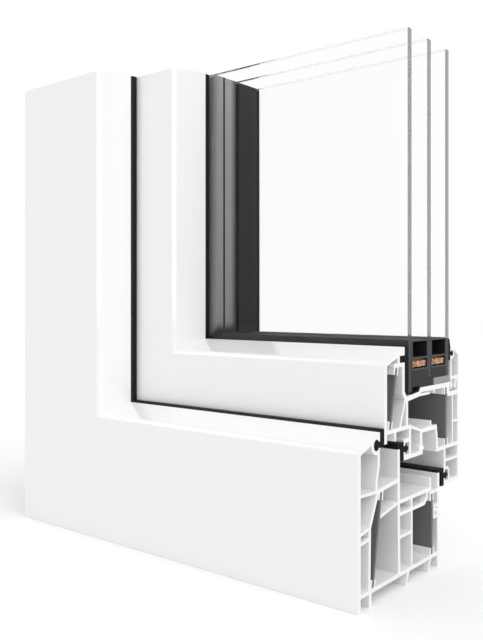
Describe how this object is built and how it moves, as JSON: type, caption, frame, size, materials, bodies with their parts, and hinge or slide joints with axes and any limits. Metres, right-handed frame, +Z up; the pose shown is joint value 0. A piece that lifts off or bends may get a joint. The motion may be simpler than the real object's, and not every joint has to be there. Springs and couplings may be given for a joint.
{
  "type": "window corner profile sample",
  "caption": "Corner sample of a white PVC window: mitred multi-chamber frame and sash sections with triple glazing, glazing beads, black seals and flat reinforcing strips.",
  "frame": {"origin": "middle of the bounding box's footprint, on the ground under the frame's feet", "axes": "+X along the rail towards its sawn end, +Y from the outdoor face to the indoor side, +Z up"},
  "size_m": [0.252, 0.1106, 0.28],
  "materials": {
    "profile_white": "smooth white PVC, soft gloss, sawn matt on the cut ends",
    "glass": "clear float glass with grey-green cut edges",
    "spacer": "black warm-edge spacer, fine matt",
    "desiccant": "orange-brown granules",
    "edge_sealant": "dark grey sealant, dull",
    "adhesive": "dark grey bonding sealant, dull",
    "packer": "grey packer",
    "seal_black": "black seal rubber, satin",
    "fibre_strip": "dark grey fibre-reinforced strip, fine lengthwise grain"
  },
  "bodies": {
    "root": {"frame_bottom_rail": "profile_white", "frame_left_jamb": "profile_white", "sash_bottom_rail": "profile_white", "sash_left_jamb": "profile_white", "bead_bottom": "profile_white", "bead_left": "profile_white", "pane_outer": "glass", "pane_middle": "glass", "pane_inner": "glass", "spacer_outer": "spacer", "spacer_inner": "spacer", "desiccant_outer": "desiccant", "desiccant_inner": "desiccant", "edge_sealant_outer": "edge_sealant", "edge_sealant_inner": "edge_sealant", "glazing_adhesive": "adhesive", "packer_bottom": "packer", "packer_left": "packer", "seal_front": "seal_black", "seal_centre": "seal_black", "seal_inner": "seal_black", "seal_glazing": "seal_black", "seal_bead": "seal_black", "strip_frame_front_rail": "fibre_strip", "strip_frame_front_jamb": "fibre_strip", "strip_frame_back_rail": "fibre_strip", "strip_frame_back_jamb": "fibre_strip", "strip_sash_front_rail": "fibre_strip", "strip_sash_front_jamb": "fibre_strip", "strip_sash_back_rail": "fibre_strip", "strip_sash_back_jamb": "fibre_strip"}
  },
  "joints": []
}
